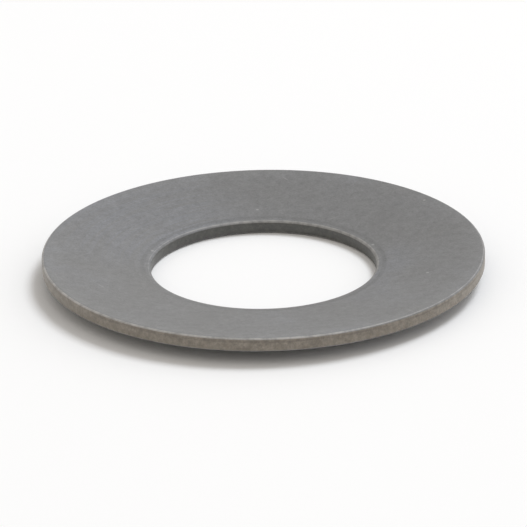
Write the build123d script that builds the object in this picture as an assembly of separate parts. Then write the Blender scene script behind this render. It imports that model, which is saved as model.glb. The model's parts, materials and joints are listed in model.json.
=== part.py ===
from build123d import *

import os
from math import acos, atan2, cos, degrees, hypot, sin, tan

# A disc spring: a shallow cone of hardened spring steel with a hole through it. It is
# punched from strip, turned to size on its rim and in its bore, pressed into a cone
# and hardened, so it is a single piece with parallel conical faces.
#
# The origin is on the spring's axis, on the surface that it stands on. It stands on
# the lower edge of its bore with the hollow side up, so the rim is the high edge.

# Driving dimensions, in mm
outer_diameter = 40.0     # rim, a cylinder about the axis
bore_diameter = 20.4      # bore, a cylinder that clears a 20 mm guide rod
thickness = 1.25          # of the strip, square to the conical faces
free_height = 2.5         # over all, with no load on the spring
rim_edge_radius = 0.2     # rounding of the rim's upper and lower edges
bore_edge_radius = 0.3    # rounding of the bore's upper and lower edges

rim_radius = outer_diameter / 2
bore_radius = bore_diameter / 2


def face_slope():
    """Slope of the conical faces, in radians, that gives the free height.

    The highest and lowest points lie on the rounding of the upper rim edge and of the
    lower bore edge. Between the centres of those two roundings, the section is as long
    as the span, as tall as the rise and as thick as the web.
    """
    roundings = rim_edge_radius + bore_edge_radius
    span = rim_radius - bore_radius - roundings
    rise = free_height - roundings
    web = thickness - roundings
    return acos(web / hypot(rise, span)) - atan2(span, rise)


def section(slope):
    """Half section in the XZ plane, with its lowest point at Z = 0."""
    wall = thickness / cos(slope)
    cone_rise = (rim_radius - bore_radius) * tan(slope)
    # what the rounding takes off the sharp lower corner at the bore
    corner_loss = bore_edge_radius * ((1 + sin(slope)) / cos(slope) - 1)

    lower_bore = (bore_radius, -corner_loss)
    lower_rim = (rim_radius, cone_rise - corner_loss)
    upper_rim = (rim_radius, cone_rise + wall - corner_loss)
    upper_bore = (bore_radius, wall - corner_loss)

    outline = Polyline(lower_bore, lower_rim, upper_rim, upper_bore, close=True)
    face = make_face(Plane.XZ * outline)
    bore_corners = face.vertices().group_by(Axis.X)[0]
    face = fillet(bore_corners, bore_edge_radius)
    rim_corners = face.vertices().group_by(Axis.X)[-1]
    return fillet(rim_corners, rim_edge_radius)


slope = face_slope()
disc_spring = revolve(section(slope), Axis.Z)

box = disc_spring.bounding_box()
print(f"slope {degrees(slope):.3f} deg, cone height {free_height - thickness:.3f} mm")
print(f"outer diameter {box.size.X:.3f} mm, height {box.size.Z:.3f} mm from Z = {box.min.Z:.4f}")
print(f"volume {disc_spring.volume:.1f} mm3")

os.makedirs("parts", exist_ok=True)
export_step(disc_spring, "parts/disc_spring.step")
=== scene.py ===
import json
from math import acos, atan2, cos, hypot, radians, sin, tan

import bpy
from mathutils import Matrix, Vector


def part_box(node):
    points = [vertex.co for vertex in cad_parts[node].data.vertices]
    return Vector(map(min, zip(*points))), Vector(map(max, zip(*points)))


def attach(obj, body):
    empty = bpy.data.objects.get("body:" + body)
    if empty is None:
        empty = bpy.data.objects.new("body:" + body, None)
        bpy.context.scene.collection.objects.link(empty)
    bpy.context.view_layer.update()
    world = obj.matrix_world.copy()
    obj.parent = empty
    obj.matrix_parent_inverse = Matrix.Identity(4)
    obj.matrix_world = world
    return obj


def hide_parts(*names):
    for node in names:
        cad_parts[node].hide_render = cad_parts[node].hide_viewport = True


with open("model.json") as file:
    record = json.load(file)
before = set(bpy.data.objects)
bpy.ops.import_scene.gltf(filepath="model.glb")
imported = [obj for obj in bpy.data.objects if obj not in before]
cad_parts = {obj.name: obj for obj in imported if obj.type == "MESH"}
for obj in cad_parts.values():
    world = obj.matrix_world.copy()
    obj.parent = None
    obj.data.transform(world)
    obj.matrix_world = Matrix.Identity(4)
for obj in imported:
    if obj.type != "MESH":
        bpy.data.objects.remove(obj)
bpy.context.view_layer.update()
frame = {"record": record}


# --- The spring -----------------------------------------------------------------------
# One ring of hardened spring steel: punched from strip, turned in its bore and on its
# rim, pressed into a shallow cone and hardened. Tumbling has rounded its four edges, and
# a phosphate coat with a trace of oil in it leaves the steel a dull, fine-grained grey.

mounts = {mount["name"]: mount for mount in frame["record"]["mounts"]}
foot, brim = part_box("disc_spring")
free_height = brim.z - foot.z
rim_radius = mounts["outer_guide"]["dims"]["r_mm"] / 1000
bore_radius = mounts["guide_bore"]["dims"]["r_mm"] / 1000
strip_thickness = 0.00125
rim_rounding = 0.0002
bore_rounding = 0.0003


def add(tree, kind, inputs=None, **options):
    """A new node with its options set, and each input named given a value or a link."""
    made = tree.nodes.new(kind)
    for option, choice in options.items():
        setattr(made, option, choice)
    for name, value in (inputs or {}).items():
        if isinstance(value, bpy.types.NodeSocket):
            tree.links.new(value, made.inputs[name])
        else:
            made.inputs[name].default_value = value
    return made


def maths(tree, operation, first, second=0.0):
    """The result of one sum on two values or links."""
    return add(tree, "ShaderNodeMath", {0: first, 1: second}, operation=operation).outputs[0]


def distance(tree, first, second):
    """How far apart two points are."""
    return add(tree, "ShaderNodeVectorMath", {0: first, 1: second},
               operation="DISTANCE").outputs["Value"]


def slide(tree, value, span, ends=(0.0, 1.0)):
    """Goes evenly from one end to the other as the value goes over its span."""
    return add(tree, "ShaderNodeMapRange", {
        "Value": value, "From Min": span[0], "From Max": span[1],
        "To Min": ends[0], "To Max": ends[1],
    }).outputs[0]


def ease(tree, value, span):
    """Goes softly from 0 to 1 as the value goes over its span."""
    return add(tree, "ShaderNodeMapRange", {
        "Value": value, "From Min": span[0], "From Max": span[1],
    }, interpolation_type="SMOOTHSTEP").outputs[0]


def face_slope():
    """Slope of the conical faces that makes the rounded ring as tall as it is unloaded."""
    roundings = rim_rounding + bore_rounding
    span = rim_radius - bore_radius - roundings
    rise = free_height - roundings
    return acos((strip_thickness - roundings) / hypot(rise, span)) - atan2(span, rise)


def ring_section(tree, given):
    """The ring's section as a closed curve: parallel faces, upright walls, round corners."""
    def corner(outwards, height):
        # Curve to Mesh turns a section's Y axis to point down
        down = maths(tree, "MULTIPLY", height, -1.0)
        return add(tree, "ShaderNodeCombineXYZ", {"X": outwards, "Y": down}).outputs[0]

    width = maths(tree, "SUBTRACT", given["Rim radius"], given["Bore radius"])
    bore_low = given["Lower corner"]
    rim_low = maths(tree, "ADD", bore_low, given["Cone rise"])
    section = add(tree, "GeometryNodeCurvePrimitiveQuadrilateral", {
        "Point 1": corner(0.0, bore_low),
        "Point 2": corner(0.0, maths(tree, "ADD", bore_low, given["Wall"])),
        "Point 3": corner(width, maths(tree, "ADD", rim_low, given["Wall"])),
        "Point 4": corner(width, rim_low),
    }, mode="POINTS").outputs[0]

    place = add(tree, "GeometryNodeInputPosition").outputs[0]
    outwards = add(tree, "ShaderNodeSeparateXYZ", {0: place}).outputs["X"]
    half_width = maths(tree, "MULTIPLY", width, 0.5)
    rounding = add(tree, "GeometryNodeSwitch", {
        "Switch": maths(tree, "GREATER_THAN", outwards, half_width),
        "False": given["Bore rounding"], "True": given["Rim rounding"],
    }, input_type="FLOAT").outputs[0]
    section = add(tree, "GeometryNodeFilletCurve", {
        "Curve": section, "Count": given["Rounding steps"], "Radius": rounding,
    }, mode="POLY").outputs[0]

    # the straight stretches are cut short, so that each rounding blends into its face
    points = add(tree, "GeometryNodeAttributeDomainSize", {0: section}, component="CURVE")
    index = add(tree, "GeometryNodeInputIndex").outputs[0]
    following = maths(tree, "MODULO", maths(tree, "ADD", index, 1.0), points.outputs["Point Count"])
    next_place = add(tree, "GeometryNodeFieldAtIndex", {"Index": following, "Value": place},
                     data_type="FLOAT_VECTOR", domain="POINT").outputs[0]
    steps = maths(tree, "DIVIDE", distance(tree, place, next_place), given["Face step"])
    cuts = maths(tree, "FLOOR", steps)
    return add(tree, "GeometryNodeSubdivideCurve", {"Curve": section, "Cuts": cuts}).outputs[0]


def weathered(tree, ring, given):
    """Pressing and hardening leave the faces a little rippled, and tumbling nicks the edges."""
    edge_span = (0.98, 0.7)

    place = add(tree, "GeometryNodeInputPosition").outputs[0]
    normal = add(tree, "GeometryNodeInputNormal").outputs["Normal"]
    lean = maths(tree, "ABSOLUTE", add(tree, "ShaderNodeSeparateXYZ", {0: normal}).outputs["Z"])
    push = 0.0
    for length, depth, where in (
        ("Ripple length", "Ripple depth", 1.0),
        ("Nick length", "Nick depth", slide(tree, lean, edge_span)),
    ):
        lumps = add(tree, "ShaderNodeTexNoise", {
            "Vector": place, "Scale": maths(tree, "DIVIDE", 1.0, given[length]), "Detail": 2.0,
        }).outputs[0]
        swing = maths(tree, "MULTIPLY", maths(tree, "SUBTRACT", lumps, 0.5), given[depth])
        push = maths(tree, "ADD", push, maths(tree, "MULTIPLY", swing, where))
    shift = add(tree, "ShaderNodeVectorMath", {0: normal, "Scale": push}, operation="SCALE")
    return add(tree, "GeometryNodeSetPosition", {
        "Geometry": ring, "Offset": shift.outputs[0],
    }).outputs[0]


def ring_tree():
    """Turns the ring's section about the axis, weathers it and gives it its finish."""
    tree = bpy.data.node_groups.new("coned ring", "GeometryNodeTree")
    for name, kind in (
        ("Bore radius", "Float"), ("Rim radius", "Float"), ("Lower corner", "Float"),
        ("Cone rise", "Float"), ("Wall", "Float"), ("Bore rounding", "Float"),
        ("Rim rounding", "Float"), ("Rounding steps", "Int"), ("Face step", "Float"),
        ("Steps around", "Int"), ("Ripple length", "Float"), ("Ripple depth", "Float"),
        ("Nick length", "Float"), ("Nick depth", "Float"), ("Finish", "Material"),
    ):
        tree.interface.new_socket(name, in_out="INPUT", socket_type="NodeSocket" + kind)
    tree.interface.new_socket("Ring", in_out="OUTPUT", socket_type="NodeSocketGeometry")
    given = tree.nodes.new("NodeGroupInput").outputs

    section = ring_section(tree, given)
    path = add(tree, "GeometryNodeCurvePrimitiveCircle", {
        "Resolution": given["Steps around"], "Radius": given["Bore radius"],
    }, mode="RADIUS").outputs[0]
    ring = add(tree, "GeometryNodeCurveToMesh", {"Curve": path, "Profile Curve": section}).outputs[0]
    ring = weathered(tree, ring, given)
    ring = add(tree, "GeometryNodeSetShadeSmooth", {"Geometry": ring}).outputs[0]
    ring = add(tree, "GeometryNodeRealizeInstances", {"Geometry": ring}).outputs[0]
    ring = add(tree, "GeometryNodeSetMaterial", {
        "Geometry": ring, "Material": given["Finish"],
    }).outputs[0]
    tree.links.new(ring, add(tree, "NodeGroupOutput").inputs[0])
    return tree


# where most of a noise's values lie
noise_span = (0.3, 0.7)


def noise(tree, vector, size, detail=2.0, roughness=0.5):
    """Cloudy noise with lumps of about the size given."""
    return add(tree, "ShaderNodeTexNoise", {
        "Vector": vector, "Scale": 1.0 / size, "Detail": detail, "Roughness": roughness,
    }).outputs[0]


def mix(tree, amount, first, second, blend="MIX"):
    """Two colours blended: a Mix node has its colours on inputs 6 and 7 and output 2."""
    return add(tree, "ShaderNodeMix", {0: amount, 6: first, 7: second},
               data_type="RGBA", blend_type=blend).outputs[2]


def coat_colour(tree, place, cloud, streak):
    """The phosphate on the faces: grey in faint clouds, with a bluer, oily haze on one side."""
    grey_dark = (0.143, 0.143, 0.142, 1)
    grey_light = (0.155, 0.156, 0.158, 1)
    haze_blue = (0.178, 0.190, 0.222, 1)
    haze_centre = (-0.011, 0.009, 0.002)
    haze_span = (0.013, 0.003)
    haze_strength = 0.5
    wisp_span = (0.55, 0.8)
    wisp_strength = 0.5

    grey = mix(tree, ease(tree, cloud, noise_span), grey_dark, grey_light)
    patch = ease(tree, distance(tree, place, haze_centre), haze_span)
    patch = maths(tree, "MULTIPLY", patch, ease(tree, streak, noise_span))
    wisps = maths(tree, "MULTIPLY", ease(tree, cloud, wisp_span), wisp_strength)
    haze = maths(tree, "MAXIMUM", patch, wisps)
    return mix(tree, maths(tree, "MULTIPLY", haze, haze_strength), grey, haze_blue)


def wall_colour(tree, place, height, mottle, inside):
    """The turned walls: brown on the rim, where it was handled, and dark in the bore, partly painted
    shade.
    """
    rim_dark = (0.140, 0.116, 0.088, 1)
    rim_light = (0.208, 0.182, 0.146, 1)
    # the bore's colours are darker than the coat's own tone: painted shade in the recess
    shaded_bore_dark = (0.040, 0.040, 0.035, 1)
    shaded_bore_light = (0.066, 0.065, 0.056, 1)
    blotch_size = 0.00045
    torn_brown = (0.045, 0.036, 0.026, 1)
    torn_depth = 0.00032
    torn_span = (0.00014, 0.00002)
    torn_wander = 0.0002
    torn_length = 0.003
    torn_gaps = (0.3, 0.6)
    torn_strength = 0.35

    blotch = noise(tree, place, blotch_size, detail=3.0, roughness=0.7)
    blotch = ease(tree, blotch, noise_span)
    rim = mix(tree, blotch, rim_dark, rim_light)
    bore = mix(tree, blotch, shaded_bore_dark, shaded_bore_light)

    # a broken dark line under the upper edge, where the cut through the strip began to tear
    wander = maths(tree, "MULTIPLY", maths(tree, "SUBTRACT", mottle, 0.5), torn_wander)
    off_line = maths(tree, "SUBTRACT", maths(tree, "ADD", height, wander), brim.z - torn_depth)
    torn = ease(tree, maths(tree, "ABSOLUTE", off_line), torn_span)
    torn = maths(tree, "MULTIPLY", torn, ease(tree, noise(tree, place, torn_length), torn_gaps))
    rim = mix(tree, maths(tree, "MULTIPLY", torn, torn_strength), rim, torn_brown)
    return mix(tree, inside, rim, bore)


def crystals(tree, radius, grain, mottle, cloud):
    """How light each spot of the coat is, as a grey to multiply its colour by, with a ring of
    painted shade by the bore.
    """
    base_level = 0.05
    grain_share = 1.2
    mottle_share = 0.7
    rim_band = (rim_radius - 0.0022, rim_radius - 0.0004)
    rim_band_gain = 0.10
    bore_ring = bore_radius + 0.00075
    bore_ring_span = (0.0003, 0.0001)
    bore_ring_gaps = (0.2, 0.6)
    bore_ring_loss = 0.20

    level = maths(tree, "ADD", maths(tree, "MULTIPLY", grain, grain_share), base_level)
    level = maths(tree, "ADD", level, maths(tree, "MULTIPLY", mottle, mottle_share))
    # a band by the rim is made lighter, and a broken ring by the bore is darkened: painted shade, as
    # of a dip there
    off_ring = maths(tree, "ABSOLUTE", maths(tree, "SUBTRACT", radius, bore_ring))
    painted_bore_ring_shade = ease(tree, off_ring, bore_ring_span)
    painted_bore_ring_shade = maths(tree, "MULTIPLY", painted_bore_ring_shade, ease(tree, cloud, bore_ring_gaps))
    rings = maths(tree, "MULTIPLY", ease(tree, radius, rim_band), rim_band_gain)
    rings = maths(tree, "SUBTRACT", rings, maths(tree, "MULTIPLY", painted_bore_ring_shade, bore_ring_loss))
    level = maths(tree, "ADD", level, rings)
    return add(tree, "ShaderNodeCombineColor", {0: level, 1: level, 2: level}).outputs[0]


def rubbed_and_highlit_edges(tree, colour, edge, mottle, facing, inside):
    """Tumbling rubs the edges towards uncoated steel, and their paleness is partly a painted
    highlight. Painted shade keeps them darker where they face +X or downwards.
    """
    bare_and_highlit_rim = (0.54, 0.52, 0.50, 1)
    bare_and_highlit_bore = (0.36, 0.35, 0.335, 1)
    wear_and_highlight_strength = 0.75
    patch_span = (0.35, 0.65)
    patch_least = 0.5
    underside_span = (-0.1, 0.1)
    underside_shade_levels = (0.4, 1.0)
    unshaded_edge_level = 1.05
    lamp_side_span = (0.15, 0.5)
    lamp_side_shade_depth = 0.95

    worn_and_highlit = maths(tree, "MULTIPLY", ease(tree, mottle, patch_span), 1.0 - patch_least)
    worn_and_highlit = maths(tree, "MULTIPLY", maths(tree, "ADD", patch_least, worn_and_highlit), edge)
    # painted shade: edges that face downwards are kept darker
    worn_and_highlit = maths(tree, "MULTIPLY", worn_and_highlit, slide(tree, facing["Z"], underside_span, underside_shade_levels))
    # painted shade: edges that face +X, towards the lamp, are kept darker
    lamp_side_shade = maths(tree, "MULTIPLY", ease(tree, facing["X"], lamp_side_span), lamp_side_shade_depth)
    worn_and_highlit = maths(tree, "MULTIPLY", worn_and_highlit, maths(tree, "SUBTRACT", unshaded_edge_level, lamp_side_shade))
    bare_and_highlit = mix(tree, inside, bare_and_highlit_rim, bare_and_highlit_bore)
    return mix(tree, maths(tree, "MULTIPLY", worn_and_highlit, wear_and_highlight_strength), colour, bare_and_highlit)


def specks_and_scratches(tree, colour, place):
    """A few pale specks and short scratches, from lying among other springs."""
    pale = (0.42, 0.42, 0.40, 1)
    spacing = 0.005
    speck_span = (0.035, 0.015)
    speck_chance = 0.15
    speck_strength = 0.5
    scratch_stretch = 14
    scratch_span = (0.010, 0.004)
    scratch_strength = 0.3

    cells = add(tree, "ShaderNodeTexVoronoi", {"Vector": place, "Scale": 1.0 / spacing},
                voronoi_dimensions="2D").outputs
    drawn = add(tree, "ShaderNodeSeparateColor", {0: cells["Color"]}).outputs[0]
    speck = maths(tree, "MULTIPLY", ease(tree, cells["Distance"], speck_span),
                  maths(tree, "GREATER_THAN", drawn, 1.0 - speck_chance))
    colour = mix(tree, maths(tree, "MULTIPLY", speck, speck_strength), colour, pale)
    for turn, shift in ((0.5, 0.0), (2.2, 0.013)):
        along = add(tree, "ShaderNodeMapping", {
            "Vector": place, "Location": (shift, shift, 0), "Rotation": (0, 0, turn),
            "Scale": (scratch_stretch, 1, 1),
        }, vector_type="TEXTURE").outputs[0]
        cells = add(tree, "ShaderNodeTexVoronoi", {"Vector": along, "Scale": 1.0 / spacing},
                    voronoi_dimensions="2D").outputs
        scratch = ease(tree, cells["Distance"], scratch_span)
        colour = mix(tree, maths(tree, "MULTIPLY", scratch, scratch_strength), colour, pale)
    return colour


def phosphated_steel():
    """Dull grey phosphate over steel: brown on the rim, dark in the bore partly from painted shade,
    pale on the edges partly from painted highlight.
    """
    wall_span = (0.55, 0.2)
    edge_start = (0.988, 0.965)
    edge_end = (0.2, 0.5)
    grain_size = 0.00019
    mottle_size = 0.0007
    cloud_size = 0.0075
    streak_length = 0.6
    streak_squeeze = 2600.0
    streak_height = 0.3
    base_roughness = 0.34
    grain_roughness = 0.16
    edge_roughness = 0.24
    bump_depth = 0.00002

    finish = bpy.data.materials.new("phosphated spring steel")
    finish.use_nodes = True
    tree = finish.node_tree
    tree.nodes.clear()

    # the lean is 1 on a level surface and 0 on an upright one
    coordinate = add(tree, "ShaderNodeTexCoord").outputs
    place = coordinate["Object"]
    x, y, z = add(tree, "ShaderNodeSeparateXYZ", {0: place}).outputs
    radius = maths(tree, "SQRT", maths(tree, "ADD", maths(tree, "MULTIPLY", x, x),
                                       maths(tree, "MULTIPLY", y, y)))
    facing = add(tree, "ShaderNodeSeparateXYZ", {0: coordinate["Normal"]}).outputs
    lean = maths(tree, "ABSOLUTE", facing["Z"])
    wall = ease(tree, lean, wall_span)
    edge = maths(tree, "MULTIPLY", ease(tree, lean, edge_start), ease(tree, lean, edge_end))
    inside = ease(tree, radius, (bore_radius + strip_thickness, bore_radius))

    # fine crystals, faint clouds, and streaks that run along circles about the axis
    grain = noise(tree, place, grain_size, detail=3.0, roughness=0.75)
    mottle = noise(tree, place, mottle_size, detail=3.0, roughness=0.65)
    cloud = noise(tree, place, cloud_size, detail=3.0, roughness=0.55)
    circles = add(tree, "ShaderNodeCombineXYZ", {
        "X": maths(tree, "DIVIDE", x, radius), "Y": maths(tree, "DIVIDE", y, radius),
        "Z": maths(tree, "MULTIPLY", radius, streak_squeeze),
    }).outputs[0]
    streak = noise(tree, circles, streak_length, detail=4.0, roughness=0.6)

    colour = mix(tree, wall, coat_colour(tree, place, cloud, streak),
                 wall_colour(tree, place, z, mottle, inside))
    colour = mix(tree, 1.0, colour, crystals(tree, radius, grain, mottle, cloud), "MULTIPLY")
    # pale edges: partly tumbling wear, partly painted highlight
    colour = rubbed_and_highlit_edges(tree, colour, edge, mottle, facing, inside)
    colour = specks_and_scratches(tree, colour, place)

    rough = maths(tree, "ADD", base_roughness, maths(tree, "MULTIPLY", grain, grain_roughness))
    rough = maths(tree, "ADD", rough, maths(tree, "MULTIPLY", edge, edge_roughness))
    height = maths(tree, "ADD", grain, maths(tree, "MULTIPLY", streak, streak_height))
    bump = add(tree, "ShaderNodeBump", {
        "Strength": 0.8, "Distance": bump_depth, "Height": height,
    }).outputs[0]
    shader = add(tree, "ShaderNodeBsdfPrincipled", {
        "Base Color": colour, "Metallic": 0.0, "Roughness": rough, "IOR": 1.7, "Normal": bump,
    }).outputs[0]
    tree.links.new(shader, add(tree, "ShaderNodeOutputMaterial").inputs[0])
    return finish


slope = face_slope()
ring_sizes = {
    "Bore radius": bore_radius,
    "Rim radius": rim_radius,
    # what the rounding takes off the sharp lower corner, below the surface it stands on
    "Lower corner": foot.z - bore_rounding * ((1 + sin(slope)) / cos(slope) - 1),
    "Cone rise": (rim_radius - bore_radius) * tan(slope),
    "Wall": strip_thickness / cos(slope),
    "Bore rounding": bore_rounding,
    "Rim rounding": rim_rounding,
    "Rounding steps": 10,
    "Face step": 0.0003,
    "Steps around": 720,
    "Ripple length": 0.008,
    "Ripple depth": 0.000016,
    "Nick length": 0.0012,
    "Nick depth": 0.000008,
    "Finish": phosphated_steel(),
}
blank = bpy.data.objects.new("blank", bpy.data.meshes.new("blank"))
bpy.context.scene.collection.objects.link(blank)
turning = blank.modifiers.new("turning", "NODES")
turning.node_group = ring_tree()
for item in turning.node_group.interface.items_tree:
    if item.in_out == "INPUT":
        turning[item.identifier] = ring_sizes[item.name]
finished = blank.evaluated_get(bpy.context.evaluated_depsgraph_get())
spring = bpy.data.objects.new("coned_ring", bpy.data.meshes.new_from_object(finished))
bpy.data.objects.remove(blank)
bpy.context.scene.collection.objects.link(spring)
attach(spring, "root")
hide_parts("disc_spring")


# --- The floor ------------------------------------------------------------------------
# A sheet of matt white board, far larger than the spring, which lies loose on it. The
# board only takes the spring's shadow, and isn't part of the object.

floor_half = 1.5
board_white = (0.98, 0.98, 0.98, 1)
corners = [(-floor_half, -floor_half), (floor_half, -floor_half),
           (floor_half, floor_half), (-floor_half, floor_half)]
floor_mesh = bpy.data.meshes.new("floor")
floor_mesh.from_pydata([(x, y, foot.z) for x, y in corners], [], [(0, 1, 2, 3)])
floor = bpy.data.objects.new("floor", floor_mesh)
bpy.context.scene.collection.objects.link(floor)
board = bpy.data.materials.new("white board")
board.use_nodes = True
matt = board.node_tree.nodes["Principled BSDF"].inputs
matt["Base Color"].default_value = board_white
matt["Roughness"].default_value = 0.9
matt["Specular IOR Level"].default_value = 0.0
floor_mesh.materials.append(board)


# --- The light ------------------------------------------------------------------------
# A white tent, brightest low behind and to the right and faintly warm at the front left,
# with one large soft lamp hung over its bright side, so that shadows fall to the front left.

bright_side = radians(42)
bright_span = (0.49, 0.77)
tent_levels = (0.57, 1.06)
warm_span = (0.1, -0.7)
tent_white = (1.0, 0.98, 0.96, 1)
tent_warm = (1.0, 0.94, 0.86, 1)
world = bpy.data.worlds.new("tent")
bpy.context.scene.world = world
world.use_nodes = True
tree = world.node_tree
tree.nodes.clear()
direction = add(tree, "ShaderNodeTexCoord").outputs["Generated"]
towards_bright = add(tree, "ShaderNodeVectorMath", {
    0: direction, 1: (cos(bright_side), sin(bright_side), 0.0),
}, operation="DOT_PRODUCT").outputs["Value"]
warmth = slide(tree, towards_bright, warm_span)
tent = add(tree, "ShaderNodeBackground", {
    "Color": mix(tree, warmth, tent_white, tent_warm),
    "Strength": slide(tree, towards_bright, bright_span, tent_levels),
}).outputs[0]
tree.links.new(tent, add(tree, "ShaderNodeOutputWorld").inputs[0])

lamp_place = Vector((1.095, 0.921, 2.289))
lamp_data = bpy.data.lights.new("soft lamp", "AREA")
lamp_data.shape = "SQUARE"
lamp_data.size = 1.05
lamp_data.energy = 34.9
lamp_data.color = (0.96, 1.0, 1.05)
lamp = bpy.data.objects.new("soft lamp", lamp_data)
lamp.location = lamp_place
lamp.rotation_mode = "QUATERNION"
lamp.rotation_quaternion = lamp_place.to_track_quat("Z", "Y")
bpy.context.scene.collection.objects.link(lamp)


# --- The camera -----------------------------------------------------------------------
# Looks down on the spring from twelve diameters away, so that its circles are shallow
# ovals and its far side is hardly smaller than its near side.

rim_diameter = 2 * rim_radius
sight_elevation = radians(22.6)
sight_length = 12.04 * rim_diameter
camera_roll = radians(-1.03)
frame_share = 0.84
aim = Vector((0, 0, (foot.z + brim.z) / 2))
back = Vector((0, -cos(sight_elevation), sin(sight_elevation)))
camera_data = bpy.data.cameras.new("camera")
camera_data.sensor_width = 36.0
camera_data.lens = camera_data.sensor_width * frame_share * sight_length / rim_diameter
camera = bpy.data.objects.new("camera", camera_data)
upright = back.to_track_quat("Z", "Y").to_matrix().to_4x4()
camera.matrix_world = (Matrix.Translation(aim + back * sight_length) @ upright
                       @ Matrix.Rotation(camera_roll, 4, "Z"))
bpy.context.scene.collection.objects.link(camera)
bpy.context.scene.camera = camera
bpy.context.scene.view_settings.view_transform = "Standard"
